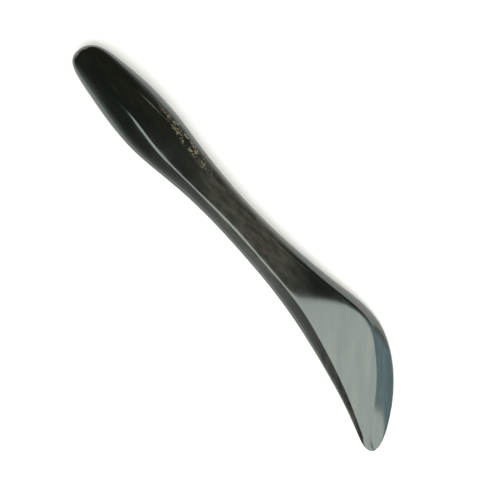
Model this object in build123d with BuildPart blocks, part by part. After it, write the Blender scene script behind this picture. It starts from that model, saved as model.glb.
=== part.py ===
from build123d import *
import math
import os

os.makedirs("parts", exist_ok=True)

# A gua sha scraper carved from one piece of buffalo horn: a thick oval handle, a slimmer neck and a
# fin-shaped blade with a thick, nearly straight spine on one side and a thin convex edge on the other.
# X runs from the butt of the handle to the tip of the blade, Y from the spine to the convex edge and
# Z upwards. All sizes are millimetres. The scraper lies flat, on the undersides of handle and blade.

LENGTH = 160.0  # butt to tip
STATIONS = 34  # cross-sections between butt and tip
END_ANGLE = 0.02  # where the end sections sit, radians: each leaves a flat about a millimetre across

# Rails along the scraper, each a list of (distance from the butt, value).
# Plan view, value = Y:
SPINE_Y = [(0, -9.8), (1.2, -13.3), (5.6, -15.3), (18.5, -16.05), (37.8, -14.95), (44.3, -13.55),
           (57, -10.4), (76.5, -7.3), (108.6, -5.55), (128, -6.85), (147.3, -9.65), (157, -11.5),
           (160, -9.4)]
EDGE_Y = [(0, -9.8), (2.4, -4.65), (12, -0.8), (25, 2.0), (37.8, 3.15), (50.7, 3.2), (70, 4.4),
          (89.3, 7.5), (108.6, 12.3), (121.5, 15.7), (128, 16.0), (134.4, 14.6), (147.3, 7.3),
          (157, -2.7), (160, -9.4)]
# The crest between the broad upper face and the steeper spine flank.
CREST_Y = [(0, -9.8), (3, -11.3), (12, -11.8), (26.6, -9.6), (44, -8.8), (57, -6.9), (76.8, -3.9),
           (92, -2.6), (106, -1.7), (124, -3.1), (142.8, -6.65), (155, -9.9), (160, -9.4)]
# The shoulder where the broad face turns down towards the thin edge.
SHOULDER_Y = [(0, -9.8), (3, -7.7), (12, -5.2), (25, -2.2), (41, -0.3), (57, 0.7), (70, 2.0), (89, 5.0),
              (107, 9.3), (118, 12.3), (126, 13.2), (134, 10.0), (144, 2.8), (152, -4.8), (160, -9.4)]
# Side view, value = Z:
CREST_Z = [(0, 5.6), (4, 9.3), (14, 11.8), (30, 12.8), (44, 12.2), (60, 11.1), (76, 10.2), (92, 9.5),
           (109, 8.8), (118, 7.8), (128, 6.3), (145, 4.3), (155, 3.2), (160, 2.2)]
SHOULDER_Z = [(0, 5.6), (4, 8.9), (14, 11.3), (30, 12.3), (44, 11.6), (60, 10.5), (76, 9.6), (92, 8.9),
              (109, 8.1), (120, 7.1), (128, 5.9), (136, 4.9), (146, 3.9), (153, 3.15), (160, 2.2)]
SPINE_Z = [(0, 5.6), (14, 6.0), (30, 6.9), (44, 7.7), (60, 7.5), (80, 6.5), (100, 5.5), (124, 3.7),
           (145, 2.5), (160, 2.2)]
EDGE_Z = [(0, 5.6), (14, 6.0), (30, 6.5), (44, 6.9), (60, 6.8), (80, 5.8), (100, 4.5), (118, 2.8),
          (134, 1.9), (145, 1.6), (153, 1.8), (160, 2.2)]
SOLE_Z = [(0, 5.6), (4, 2.2), (14, 0.6), (30, 0.0), (44, 0.15), (60, 0.6), (80, 0.7), (100, 0.3),
          (118, 0.0), (140, 0.0), (155, 0.5), (160, 2.2)]

# How softly the crest and the shoulder are rounded, as a share of the facets beside them.
CREST_SOFT = [(0, 0.42), (16, 0.34), (26, 0.22), (36, 0.14), (46, 0.06), (53, 0.03), (60, 0.05),
              (68, 0.12), (90, 0.10), (110, 0.07), (140, 0.08), (160, 0.40)]
SHOULDER_SOFT = [(0, 0.42), (18, 0.30), (28, 0.12), (48, 0.14), (60, 0.26), (110, 0.22), (124, 0.13),
                 (146, 0.13), (160, 0.40)]
# Roundness of the outline on either side: 0 is a knife, 1 a full round.
SPINE_ROUND = [(0, 0.50), (20, 0.40), (40, 0.30), (160, 0.30)]
EDGE_ROUND = [(0, 0.50), (30, 0.55), (60, 0.50), (110, 0.36), (130, 0.28), (160, 0.40)]
CROWN = 0.02  # rise of the broad upper face over its width; the sole is flat


def angle(x):
    """The angle whose cosine runs from butt to tip, so that rails leave both ends as round curves."""
    return math.acos(1 - 2 * x / LENGTH)


def rail(points):
    """A natural cubic spline through the points of a rail, over the angle."""
    u = [angle(x) for x, _ in points]
    v = [value for _, value in points]
    last = len(u) - 1
    h = [u[i + 1] - u[i] for i in range(last)]
    slope = [(v[i + 1] - v[i]) / h[i] for i in range(last)]
    diagonal = [1.0] + [2 * (h[i - 1] + h[i]) for i in range(1, last)] + [1.0]
    bend = [0.0] + [6 * (slope[i] - slope[i - 1]) for i in range(1, last)] + [0.0]
    for i in range(2, last):
        share = h[i - 1] / diagonal[i - 1]
        diagonal[i] -= share * h[i - 1]
        bend[i] -= share * bend[i - 1]
    for i in range(last - 1, 0, -1):
        bend[i] = (bend[i] - h[i] * bend[i + 1]) / diagonal[i]

    def value(t):
        i = 0
        while i < last - 1 and t > u[i + 1]:
            i += 1
        a = (u[i + 1] - t) / h[i]
        b = (t - u[i]) / h[i]
        curve = (a**3 - a) * bend[i] + (b**3 - b) * bend[i + 1]
        return a * v[i] + b * v[i + 1] + curve * h[i] ** 2 / 6

    return value


spine_y, edge_y, crest_y, shoulder_y = rail(SPINE_Y), rail(EDGE_Y), rail(CREST_Y), rail(SHOULDER_Y)
crest_z, shoulder_z, spine_z, edge_z = rail(CREST_Z), rail(SHOULDER_Z), rail(SPINE_Z), rail(EDGE_Z)
sole_z, crest_soft, shoulder_soft = rail(SOLE_Z), rail(CREST_SOFT), rail(SHOULDER_SOFT)
spine_round, edge_round = rail(SPINE_ROUND), rail(EDGE_ROUND)


def mix(a, b, share):
    """The point that share of the way from a to b."""
    return (a[0] + share * (b[0] - a[0]), a[1] + share * (b[1] - a[1]))


def half_section(spine, crest, shoulder, edge, soft, round_off, crown):
    """Upper or lower half of a cross-section, from spine to edge, as five cubic Bezier curves."""
    flank = (spine[0], mix(spine, crest, round_off[0])[1])
    bevel = (edge[0], mix(edge, shoulder, round_off[1])[1])
    rise = crown * (shoulder[0] - crest[0])
    near = mix(crest, shoulder, 0.35)
    far = mix(crest, shoulder, 0.65)
    near = (near[0], near[1] + rise)
    far = (far[0], far[1] + rise)
    a = mix(crest, flank, soft[0])
    b = mix(crest, near, soft[0])
    c = mix(shoulder, far, soft[1])
    d = mix(shoulder, bevel, soft[1])
    return [
        [spine, flank, mix(flank, a, 0.5), a],
        [a, mix(a, crest, 0.6), mix(b, crest, 0.6), b],
        [b, mix(b, near, 0.6), mix(c, far, 0.6), c],
        [c, mix(c, shoulder, 0.6), mix(d, shoulder, 0.6), d],
        [d, mix(bevel, d, 0.5), bevel, edge],
    ]


def on_curve(curve, s):
    """The point of a cubic Bezier curve at s."""
    weights = ((1 - s) ** 3, 3 * s * (1 - s) ** 2, 3 * s**2 * (1 - s), s**3)
    return tuple(sum(w * point[k] for w, point in zip(weights, curve)) for k in (0, 1))


# Each curve of a half section is followed in a few steps, and the steps take these shares of the way
# round: spine flank, crest, broad face, shoulder, bevel.
STEPS = [4, 3, 4, 3, 4]
SHARES = [1.0, 0.35, 1.3, 0.5, 0.8]


def smooth_half(x, curves, upright):
    """The half section at x as one spline from spine to edge, upright where it leaves and arrives."""
    points = []
    places = [0.0]
    for curve, steps, share in zip(curves, STEPS, SHARES):
        for i in range(steps):
            points.append((x, *on_curve(curve, i / steps)))
            places.append(places[-1] + share)
    points.append((x, *curves[-1][-1]))
    return Edge.make_spline(points, tangents=[(0, 0, upright), (0, 0, -upright)], parameters=places)


def section(t):
    """The closed cross-section at the angle t: an upper and a lower half, joined at spine and edge."""
    x = -LENGTH / 2 * math.cos(t)
    spine = (spine_y(t), spine_z(t))
    edge = (edge_y(t), edge_z(t))
    soft = (crest_soft(t), shoulder_soft(t))
    round_off = (spine_round(t), edge_round(t))
    crest = (crest_y(t), crest_z(t))
    shoulder = (shoulder_y(t), shoulder_z(t))
    below_crest = (crest_y(t), sole_z(t))
    below_shoulder = (shoulder_y(t), sole_z(t))
    upper = half_section(spine, crest, shoulder, edge, soft, round_off, CROWN)
    lower = half_section(spine, below_crest, below_shoulder, edge, soft, round_off, 0)
    return Wire([smooth_half(x, upper, 1), smooth_half(x, lower, -1)])


with BuildPart() as horn_scraper:
    span = math.pi - 2 * END_ANGLE
    angles = [END_ANGLE + span * i / (STATIONS - 1) for i in range(STATIONS)]
    add(Solid.make_loft([section(t) for t in angles]))

horn_scraper.part.label = "horn_scraper"
export_step(horn_scraper.part, "parts/horn_scraper.step")
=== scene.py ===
import math

import bpy
from mathutils import Matrix, Vector, noise


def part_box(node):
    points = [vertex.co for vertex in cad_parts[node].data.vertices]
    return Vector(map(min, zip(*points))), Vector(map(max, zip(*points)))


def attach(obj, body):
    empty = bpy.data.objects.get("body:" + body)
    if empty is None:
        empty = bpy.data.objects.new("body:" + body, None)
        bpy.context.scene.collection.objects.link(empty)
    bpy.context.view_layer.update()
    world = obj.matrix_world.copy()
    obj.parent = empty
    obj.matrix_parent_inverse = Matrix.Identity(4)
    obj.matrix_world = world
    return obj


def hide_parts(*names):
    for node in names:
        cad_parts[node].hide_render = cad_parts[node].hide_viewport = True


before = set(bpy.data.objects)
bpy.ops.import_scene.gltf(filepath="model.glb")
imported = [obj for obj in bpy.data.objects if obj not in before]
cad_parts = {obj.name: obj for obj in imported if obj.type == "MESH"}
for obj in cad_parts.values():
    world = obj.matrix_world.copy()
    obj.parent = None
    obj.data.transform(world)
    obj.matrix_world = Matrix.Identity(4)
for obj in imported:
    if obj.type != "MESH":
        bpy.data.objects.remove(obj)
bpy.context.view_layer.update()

NODE = "horn_scraper"
LENGTH = 160.0  # butt to tip, millimetres

# ---------------------------------------------------------------- shape of the scraper
# Rails from butt to tip, as in the CAD: (distance from the butt, value), in millimetres.
# Plan view, value = Y: the spine, the convex edge, the crest between the broad face and the spine
# flank, and the shoulder where the broad face turns down towards the edge.
SPINE_Y = [(0, -9.8), (1.2, -13.3), (5.6, -15.3), (18.5, -16.05), (37.8, -14.95), (44.3, -13.55),
           (57, -10.4), (76.5, -7.3), (108.6, -5.55), (128, -6.85), (147.3, -9.65), (157, -11.5),
           (160, -9.4)]
EDGE_Y = [(0, -9.8), (2.4, -4.65), (12, -0.8), (25, 2.0), (37.8, 3.15), (50.7, 3.2), (70, 4.4),
          (89.3, 7.5), (108.6, 12.3), (121.5, 15.7), (128, 16.0), (134.4, 14.6), (147.3, 7.3),
          (157, -2.7), (160, -9.4)]
CREST_Y = [(0, -9.8), (3, -11.3), (12, -11.8), (26.6, -9.6), (44, -8.8), (57, -6.9), (76.8, -3.9),
           (92, -2.6), (106, -1.7), (124, -3.1), (142.8, -6.65), (155, -9.9), (160, -9.4)]
SHOULDER_Y = [(0, -9.8), (3, -7.7), (12, -5.2), (25, -2.2), (41, -0.3), (57, 0.7), (70, 2.0), (89, 5.0),
              (107, 9.3), (118, 12.3), (126, 13.2), (134, 10.0), (144, 2.8), (152, -4.8), (160, -9.4)]
# Side view, value = Z: the same four, and the sole that the scraper lies on.
CREST_Z = [(0, 5.6), (4, 9.3), (14, 11.8), (30, 12.8), (44, 12.2), (60, 11.1), (76, 10.2), (92, 9.5),
           (109, 8.8), (118, 7.8), (128, 6.3), (145, 4.3), (155, 3.2), (160, 2.2)]
SHOULDER_Z = [(0, 5.6), (4, 8.9), (14, 11.3), (30, 12.3), (44, 11.6), (60, 10.5), (76, 9.6), (92, 8.9),
              (109, 8.1), (120, 7.1), (128, 5.9), (136, 4.9), (146, 3.9), (153, 3.15), (160, 2.2)]
SPINE_Z = [(0, 5.6), (14, 6.0), (30, 6.9), (44, 7.7), (60, 7.5), (80, 6.5), (100, 5.5), (124, 3.7),
           (145, 2.5), (160, 2.2)]
EDGE_Z = [(0, 5.6), (14, 6.0), (30, 6.5), (44, 6.9), (60, 6.8), (80, 5.8), (100, 4.5), (118, 2.8),
          (134, 1.9), (145, 1.6), (153, 1.8), (160, 2.2)]
SOLE_Z = [(0, 5.6), (4, 2.2), (14, 0.6), (30, 0.0), (44, 0.15), (60, 0.6), (80, 0.7), (100, 0.3),
          (118, 0.0), (140, 0.0), (155, 0.5), (160, 2.2)]
# How softly crest and shoulder are rounded, as a share of the facets beside them.
CREST_SOFT = [(0, 0.42), (16, 0.34), (26, 0.22), (36, 0.14), (46, 0.06), (53, 0.03), (60, 0.05),
              (68, 0.12), (90, 0.10), (110, 0.07), (140, 0.08), (160, 0.40)]
SHOULDER_SOFT = [(0, 0.42), (18, 0.30), (28, 0.12), (48, 0.14), (60, 0.26), (110, 0.22), (124, 0.13),
                 (146, 0.13), (160, 0.40)]
CROWN = 0.02  # rise of the broad upper face over its width
# Roundness of the outline on either side: 0 is a knife, 1 a full round.
SPINE_ROUND = [(0, 0.50), (20, 0.40), (40, 0.30), (160, 0.30)]
EDGE_ROUND = [(0, 0.50), (30, 0.55), (60, 0.50), (110, 0.36), (130, 0.28), (160, 0.40)]

STATIONS = 420  # cross-sections along the mesh
WAVE_LENGTH = 11.0  # of the hand-filed unevenness, millimetres
WAVE_HEIGHT = 0.06
WAVE_SHIFT = Vector((0, 0, 40))  # takes the unevenness in Z from another part of the noise than in Y
STEPS = [16, 8, 16, 8, 12]  # mesh steps round flank, crest, face, shoulder and bevel


def angle(x):
    """The angle whose cosine runs from butt to tip."""
    return math.acos(1 - 2 * x / LENGTH)


def rail(points):
    """A natural cubic spline through the points of a rail, over the angle."""
    u = [angle(x) for x, _ in points]
    v = [value for _, value in points]
    last = len(u) - 1
    h = [u[i + 1] - u[i] for i in range(last)]
    slope = [(v[i + 1] - v[i]) / h[i] for i in range(last)]
    diagonal = [1.0] + [2 * (h[i - 1] + h[i]) for i in range(1, last)] + [1.0]
    bend = [0.0] + [6 * (slope[i] - slope[i - 1]) for i in range(1, last)] + [0.0]
    for i in range(2, last):
        share = h[i - 1] / diagonal[i - 1]
        diagonal[i] -= share * h[i - 1]
        bend[i] -= share * bend[i - 1]
    for i in range(last - 1, 0, -1):
        bend[i] = (bend[i] - h[i] * bend[i + 1]) / diagonal[i]

    def value(t):
        i = 0
        while i < last - 1 and t > u[i + 1]:
            i += 1
        a = (u[i + 1] - t) / h[i]
        b = (t - u[i]) / h[i]
        curve = (a**3 - a) * bend[i] + (b**3 - b) * bend[i + 1]
        return a * v[i] + b * v[i + 1] + curve * h[i] ** 2 / 6

    return value


spine_y, edge_y, crest_y, shoulder_y = rail(SPINE_Y), rail(EDGE_Y), rail(CREST_Y), rail(SHOULDER_Y)
crest_z, shoulder_z, spine_z, edge_z = rail(CREST_Z), rail(SHOULDER_Z), rail(SPINE_Z), rail(EDGE_Z)
sole_z, crest_soft, shoulder_soft = rail(SOLE_Z), rail(CREST_SOFT), rail(SHOULDER_SOFT)
spine_round, edge_round = rail(SPINE_ROUND), rail(EDGE_ROUND)


def mix(a, b, share):
    """The point that share of the way from a to b."""
    return (a[0] + share * (b[0] - a[0]), a[1] + share * (b[1] - a[1]))


def half_section(spine, crest, shoulder, edge, soft, round_off, crown):
    """Upper or lower half of a cross-section, from spine to edge, as five cubic Bezier curves."""
    flank = (spine[0], mix(spine, crest, round_off[0])[1])
    bevel = (edge[0], mix(edge, shoulder, round_off[1])[1])
    rise = crown * (shoulder[0] - crest[0])
    near = mix(crest, shoulder, 0.35)
    far = mix(crest, shoulder, 0.65)
    near = (near[0], near[1] + rise)
    far = (far[0], far[1] + rise)
    a = mix(crest, flank, soft[0])
    b = mix(crest, near, soft[0])
    c = mix(shoulder, far, soft[1])
    d = mix(shoulder, bevel, soft[1])
    return [
        [spine, flank, mix(flank, a, 0.5), a],
        [a, mix(a, crest, 0.6), mix(b, crest, 0.6), b],
        [b, mix(b, near, 0.6), mix(c, far, 0.6), c],
        [c, mix(c, shoulder, 0.6), mix(d, shoulder, 0.6), d],
        [d, mix(bevel, d, 0.5), bevel, edge],
    ]


def on_curve(curve, s):
    """The point of a cubic Bezier curve at s."""
    weights = ((1 - s) ** 3, 3 * s * (1 - s) ** 2, 3 * s**2 * (1 - s), s**3)
    return tuple(sum(w * point[k] for w, point in zip(weights, curve)) for k in (0, 1))


def ring(t):
    """The closed cross-section at the angle t, as (Y, Z) points in millimetres."""
    spine = (spine_y(t), spine_z(t))
    edge = (edge_y(t), edge_z(t))
    soft = (crest_soft(t), shoulder_soft(t))
    round_off = (spine_round(t), edge_round(t))
    crest = (crest_y(t), crest_z(t))
    shoulder = (shoulder_y(t), shoulder_z(t))
    below_crest = (crest_y(t), sole_z(t))
    below_shoulder = (shoulder_y(t), sole_z(t))
    upper = half_section(spine, crest, shoulder, edge, soft, round_off, CROWN)
    lower = half_section(spine, below_crest, below_shoulder, edge, soft, round_off, 0)
    curves = upper + [curve[::-1] for curve in lower[::-1]]
    points = []
    for curve, steps in zip(curves, STEPS + STEPS[::-1]):
        points += [on_curve(curve, i / steps) for i in range(steps)]
    return points


def add_object(name, mesh):
    """A new object in the scene."""
    made = bpy.data.objects.new(name, mesh)
    bpy.context.scene.collection.objects.link(made)
    return made


def build_scraper():
    """The scraper's mesh: rings from butt to tip, closed by a point at each end."""
    low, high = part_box(NODE)
    scale = (high[0] - low[0]) / LENGTH
    middle = (low[1] + high[1]) / 2
    verts = []
    around = 2 * sum(STEPS)

    def place(x, y, z):
        """A point of the mesh in metres, with the slight waviness of a surface that was filed by hand."""
        spot = Vector((x, y, z)) / WAVE_LENGTH
        y += WAVE_HEIGHT * noise.noise(spot)
        z += WAVE_HEIGHT * noise.noise(spot + WAVE_SHIFT)
        return (low[0] + x * scale, middle + y * scale, low[2] + z * scale)

    for i in range(1, STATIONS):
        t = math.pi * i / STATIONS
        x = LENGTH / 2 * (1 - math.cos(t))
        verts += [place(x, y, z) for y, z in ring(t)]
    faces = []
    for i in range(STATIONS - 2):
        for j in range(around):
            k = (j + 1) % around
            a, b = i * around, (i + 1) * around
            faces.append((a + j, b + j, b + k, a + k))
    verts.append(place(0, spine_y(0), spine_z(0)))
    verts.append(place(LENGTH, spine_y(math.pi), spine_z(math.pi)))
    butt, tip = len(verts) - 2, len(verts) - 1
    last = (STATIONS - 2) * around
    for j in range(around):
        k = (j + 1) % around
        faces.append((butt, j, k))
        faces.append((tip, last + k, last + j))
    mesh = bpy.data.meshes.new("scraper")
    mesh.from_pydata(verts, [], faces)
    mesh.update()
    mesh.polygons.foreach_set("use_smooth", [True] * len(mesh.polygons))
    return add_object("scraper", mesh)


# ---------------------------------------------------------------- node trees
# Places of the colour sockets of a Mix node, which share their names with its other sockets.
MIX_COLOUR_A, MIX_COLOUR_B, MIX_COLOUR_OUT = 6, 7, 2


class Nodes:
    """A few short ways to build a node tree."""

    def __init__(self, tree):
        self.tree = tree

    def make(self, kind, inputs=None, **settings):
        """A node of a kind, with its inputs linked or set, and its settings."""
        node = self.tree.nodes.new(kind)
        for key, value in settings.items():
            setattr(node, key, value)
        for key, value in (inputs or {}).items():
            if isinstance(value, bpy.types.NodeSocket):
                self.tree.links.new(value, node.inputs[key])
            else:
                node.inputs[key].default_value = value
        return node

    def noise(self, where, size, stretch=(1, 1, 1), turn=0.0, detail=3.0, rough=0.55, shift=0.0):
        """Noise with features about size metres across, longer along an axis where stretch is more."""
        scale = tuple(1 / (size * s) for s in stretch)
        mapping = self.make("ShaderNodeMapping", {"Vector": where, "Rotation": (0, 0, turn)})
        scaled = self.make("ShaderNodeVectorMath", {0: mapping.outputs[0], 1: scale}, operation="MULTIPLY")
        moved = self.make("ShaderNodeVectorMath", {0: scaled.outputs[0], 1: (shift, shift, shift)},
                          operation="ADD")
        return self.make("ShaderNodeTexNoise", {"Vector": moved.outputs[0], "Scale": 1.0,
                                                "Detail": detail, "Roughness": rough}).outputs["Fac"]

    def ramp(self, value, start, end, low=0.0, high=1.0):
        """Low where value is at start, smoothly turning to high where it is at end."""
        return self.make("ShaderNodeMapRange", {"Value": value, "From Min": start, "From Max": end,
                                                "To Min": low, "To Max": high},
                         interpolation_type="SMOOTHSTEP").outputs["Result"]

    def math(self, operation, a, b):
        """One step of arithmetic on two values."""
        return self.make("ShaderNodeMath", {0: a, 1: b}, operation=operation).outputs[0]

    def tint(self, share, a, b):
        """Colour a, turning to colour b as share goes to 1."""
        start, end = (c if isinstance(c, bpy.types.NodeSocket) else (*c, 1) for c in (a, b))
        inputs = {0: share, MIX_COLOUR_A: start, MIX_COLOUR_B: end}
        return self.make("ShaderNodeMix", inputs, data_type="RGBA").outputs[MIX_COLOUR_OUT]

    def patch(self, where, centre, reach):
        """1 at a centre, falling to 0 an ellipsoid's reach away."""
        away = self.make("ShaderNodeVectorMath", {0: where, 1: centre}, operation="SUBTRACT")
        share = self.make("ShaderNodeVectorMath", {0: away.outputs[0], 1: reach}, operation="DIVIDE")
        length = self.make("ShaderNodeVectorMath", {0: share.outputs[0]}, operation="LENGTH")
        return self.ramp(length.outputs["Value"], 1.0, 0.35)


# ---------------------------------------------------------------- horn
# Places and reaches are in metres.
GREEN_BLACK = (0.0025, 0.0045, 0.0030)
BROWN_BLACK = (0.0050, 0.0052, 0.0034)
BROWN_STREAK = (0.0110, 0.0095, 0.0060)
NECK_GRAIN = (0.0620, 0.0590, 0.0480)
# Pale flecks of the horn, made bright enough to be a painted highlight on the shoulder as well.
FLECK_AND_HIGHLIGHT = (0.3000, 0.2700, 0.1900)
# Colour of the faint pale streaks across the blade.
PALE_BLADE_STREAK = (0.0320, 0.0340, 0.0280)
NECK_CENTRE, NECK_REACH = (-0.002, 0.0005, 0.009), (0.038, 0.010, 0.03)
NECK_SHARE = 0.8  # how far the neck's grain covers the black
FLECK_HIGHLIGHT_CENTRE, FLECK_HIGHLIGHT_REACH = (-0.036, 0.0003, 0.0112), (0.018, 0.0019, 0.006)
BLADE_START, BLADE_FULL = 0.026, 0.050  # X where the blade begins to be thin, and where it is
STREAK_SHARE = 0.55
ALONG_FLECK_HIGHLIGHT = -0.12  # radians that grain is turned by, to follow the shoulder
ALONG_NECK = -0.1
ACROSS_BLADE = 0.634
HORN_IOR = 1.56
HORN_GLOSS = 0.8
HORN_GLOSS_TINT = (0.88, 1.0, 0.93, 1)
SCRATCH_STRENGTH, SCRATCH_DEPTH = 0.05, 0.0001


def horn_material():
    """Polished black horn: fibres, a mottled neck, flecks and a painted highlight on the shoulder, a
    streaked blade.
    """
    material = bpy.data.materials.new("polished_black_horn")
    material.use_nodes = True
    n = Nodes(material.node_tree)
    shader = material.node_tree.nodes["Principled BSDF"]
    where = n.make("ShaderNodeTexCoord").outputs["Object"]
    # Horn is built of fibres that run along the piece: long streaks of green-black and brown.
    streak = n.noise(where, 0.0022, (14, 1, 1), detail=4.0)
    fibre = n.noise(where, 0.00045, (24, 1, 1), detail=2.0, shift=3.0)
    cloud = n.noise(where, 0.016, (2.2, 1, 1), detail=3.0, shift=7.0)
    colour = n.tint(n.ramp(cloud, 0.42, 0.62), GREEN_BLACK, BROWN_BLACK)
    colour = n.tint(n.math("MULTIPLY", n.ramp(streak, 0.50, 0.72), STREAK_SHARE), colour, BROWN_STREAK)
    # Paler brown grain shows at the neck. Along the shoulder of the handle, pale flecks of the horn double
    # as a painted highlight on the shoulder.
    mottle = n.noise(where, 0.0016, (2.6, 1, 1), turn=ALONG_NECK, detail=4.0, shift=11.0)
    neck = n.math("MULTIPLY", n.patch(where, NECK_CENTRE, NECK_REACH), n.ramp(mottle, 0.05, 0.95))
    colour = n.tint(n.math("MULTIPLY", neck, NECK_SHARE), colour, NECK_GRAIN)
    # Pale shoulder flecks: partly the horn's own flecks, partly a painted highlight along the shoulder.
    dash = n.noise(where, 0.00050, (1.8, 1, 1), turn=ALONG_FLECK_HIGHLIGHT, detail=2.0, shift=23.0)
    spread = n.noise(where, 0.0017, (1.5, 1, 1), turn=ALONG_FLECK_HIGHLIGHT, detail=2.0, shift=29.0)
    fleck_and_highlight = n.math("MULTIPLY", n.ramp(dash, 0.46, 0.64), n.ramp(spread, 0.38, 0.62))
    shoulder = n.patch(where, FLECK_HIGHLIGHT_CENTRE, FLECK_HIGHLIGHT_REACH)
    colour = n.tint(n.math("MULTIPLY", shoulder, fleck_and_highlight), colour, FLECK_AND_HIGHLIGHT)
    # Faint pale streaks lie across the thin blade, turned at an angle to the fibre.
    thin = n.ramp(n.make("ShaderNodeSeparateXYZ", {0: where}).outputs["X"], BLADE_START, BLADE_FULL)
    band = n.noise(where, 0.0024, (9, 1, 1), turn=ACROSS_BLADE, detail=3.0, shift=31.0)
    colour = n.tint(n.math("MULTIPLY", thin, n.ramp(band, 0.30, 0.75)), colour, PALE_BLADE_STREAK)
    n.tree.links.new(colour, shader.inputs["Base Color"])
    # A hand polish leaves fine lengthwise scratches and a slightly uneven gloss.
    gloss = n.noise(where, 0.011, (1.6, 1, 1), detail=4.0, shift=17.0)
    polish = n.math("ADD", n.ramp(gloss, 0.35, 0.70, 0.085, 0.125), n.ramp(fibre, 0.45, 0.75, 0.0, 0.03))
    n.tree.links.new(polish, shader.inputs["Roughness"])
    scratch = n.make("ShaderNodeBump", {"Height": fibre, "Strength": SCRATCH_STRENGTH,
                                        "Distance": SCRATCH_DEPTH})
    n.tree.links.new(scratch.outputs[0], shader.inputs["Normal"])
    shader.inputs["IOR"].default_value = HORN_IOR
    shader.inputs["Specular IOR Level"].default_value = HORN_GLOSS
    shader.inputs["Specular Tint"].default_value = HORN_GLOSS_TINT
    return material


scraper = build_scraper()
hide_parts(NODE)
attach(scraper, "root")
scraper.data.materials.append(horn_material())

# ---------------------------------------------------------------- floor
FLOOR_REACH = 3.0  # metres each way
FLOOR_WHITE = (0.9, 0.9, 0.9, 1)


def build_floor():
    """A large plain matt white floor."""
    mesh = bpy.data.meshes.new("floor")
    corners = [(x * FLOOR_REACH, y * FLOOR_REACH, 0) for x, y in ((-1, -1), (1, -1), (1, 1), (-1, 1))]
    mesh.from_pydata(corners, [], [(0, 1, 2, 3)])
    material = bpy.data.materials.new("white_sweep")
    material.use_nodes = True
    shader = material.node_tree.nodes["Principled BSDF"]
    shader.inputs["Base Color"].default_value = FLOOR_WHITE
    shader.inputs["Roughness"].default_value = 1.0
    shader.inputs["Specular IOR Level"].default_value = 0.0
    mesh.materials.append(material)
    return add_object("floor", mesh)


floor = build_floor()

# ---------------------------------------------------------------- light
TURN = math.radians(53.727)  # from +X to the right of the picture
IMAGE_RIGHT = Vector((math.cos(TURN), math.sin(TURN), 0))
IMAGE_UP = Vector((-math.sin(TURN), math.cos(TURN), 0))
ZENITH = Vector((0, 0, 1))
BUTT_WARD = (-1, 0, 0)
# The softbox is an ellipse, seen from the scraper: its centre and reach right and up.
SOFTBOX_RIGHT, SOFTBOX_RIGHT_REACH = 0.05, 0.68
SOFTBOX_UP, SOFTBOX_UP_REACH = -0.62, 0.60
SOFTBOX_LIGHT = (3.90, 3.90, 3.85)
WINDOW_LIGHT = (0.95, 1.35, 1.65)
STRIP_LIGHT = (3.4, 3.2, 2.6)
WALL_LIGHT = (0.85, 0.85, 0.88)
FILL_LIGHT = (0.70, 0.69, 0.64)
ROOM_LIGHT = (0.06, 0.055, 0.05)


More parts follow.
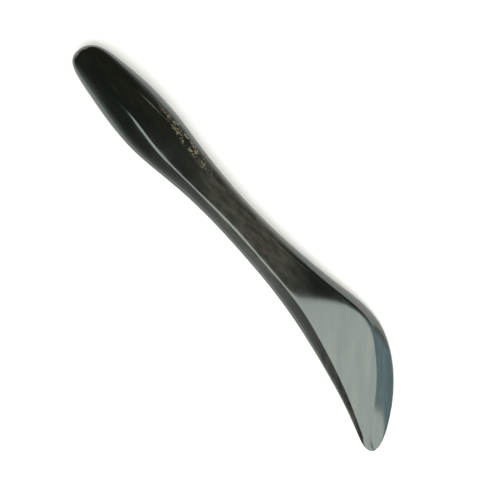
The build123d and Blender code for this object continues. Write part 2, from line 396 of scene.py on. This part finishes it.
def build_world():
    """A dark studio with a large softbox and dimmer lights, and white for the camera alone.

    The window and the strip are seen in reflections alone, and the fill lights matt surfaces alone.
    """
    world = bpy.data.worlds.new("studio")
    bpy.context.scene.world = world
    world.use_nodes = True
    world.node_tree.nodes.clear()
    n = Nodes(world.node_tree)
    toward = n.make("ShaderNodeTexCoord").outputs["Generated"]
    path = n.make("ShaderNodeLightPath")

    def along(axis):
        """How far a direction points along an axis, from -1 to 1."""
        dot = n.make("ShaderNodeVectorMath", {0: toward, 1: axis}, operation="DOT_PRODUCT")
        return dot.outputs["Value"]

    def times(*values):
        """The product of some values."""
        result = values[0]
        for value in values[1:]:
            result = n.math("MULTIPLY", result, value)
        return result

    def offset(value, centre, reach):
        """How far a value is from a centre, in reaches, squared."""
        share = n.math("DIVIDE", n.math("SUBTRACT", value, centre), reach)
        return n.math("MULTIPLY", share, share)

    def lit(mask, light):
        """A light, where its mask is 1."""
        tint = n.make("ShaderNodeVectorMath", {0: light, "Scale": mask}, operation="SCALE")
        return tint.outputs[0]

    right, up, height = along(IMAGE_RIGHT), along(IMAGE_UP), along(ZENITH)
    panel = n.math("ADD", offset(right, SOFTBOX_RIGHT, SOFTBOX_RIGHT_REACH),
                   offset(up, SOFTBOX_UP, SOFTBOX_UP_REACH))
    softbox = times(n.ramp(panel, 1.06, 0.94), n.ramp(height, 0.25, 0.35))
    window = times(n.ramp(panel, 0.98, 1.08), n.ramp(up, 0.22, 0.06), n.ramp(right, 0.26, 0.36),
                   n.ramp(height, 0.05, 0.20), path.outputs["Is Glossy Ray"])
    strip = times(n.ramp(right, 0.24, 0.32), n.ramp(right, 0.44, 0.38), n.ramp(up, 0.32, 0.40),
                  n.ramp(up, 0.60, 0.50), path.outputs["Is Glossy Ray"])
    wall = times(n.ramp(height, 0.42, -0.02), n.ramp(along(BUTT_WARD), 0.85, 0.40))
    total = ROOM_LIGHT
    for mask, light in ((softbox, SOFTBOX_LIGHT), (window, WINDOW_LIGHT), (strip, STRIP_LIGHT),
                        (wall, WALL_LIGHT), (path.outputs["Is Diffuse Ray"], FILL_LIGHT)):
        total = n.make("ShaderNodeVectorMath", {0: total, 1: lit(mask, light)}, operation="ADD").outputs[0]
    lights = n.make("ShaderNodeBackground", {"Color": total})
    white = n.make("ShaderNodeBackground", {"Color": (1, 1, 1, 1)})
    shown = n.make("ShaderNodeMixShader", {"Fac": path.outputs["Is Camera Ray"]})
    n.tree.links.new(lights.outputs[0], shown.inputs[1])
    n.tree.links.new(white.outputs[0], shown.inputs[2])
    output = n.make("ShaderNodeOutputWorld")
    n.tree.links.new(shown.outputs[0], output.inputs["Surface"])


build_world()

# ---------------------------------------------------------------- camera
CENTRE = Vector((0.0045, -0.0038, 0.005))  # what the camera looks at
ELEVATION = math.radians(88)
DISTANCE = 0.8
VIEW_SPAN = 0.1602  # width of the view at the scraper, metres
SENSOR = 36  # millimetres

camera_data = bpy.data.cameras.new("camera")
camera = add_object("camera", camera_data)
bpy.context.scene.camera = camera
camera_data.sensor_width = SENSOR
camera_data.lens = SENSOR * DISTANCE / VIEW_SPAN
camera_data.clip_end = 20
back = IMAGE_UP * -math.cos(ELEVATION) + ZENITH * math.sin(ELEVATION)
top = back.cross(IMAGE_RIGHT)
camera.matrix_world = Matrix.Translation(CENTRE + back * DISTANCE) @ Matrix(
    (IMAGE_RIGHT, top, back)).transposed().to_4x4()
bpy.context.scene.view_settings.view_transform = "Standard"
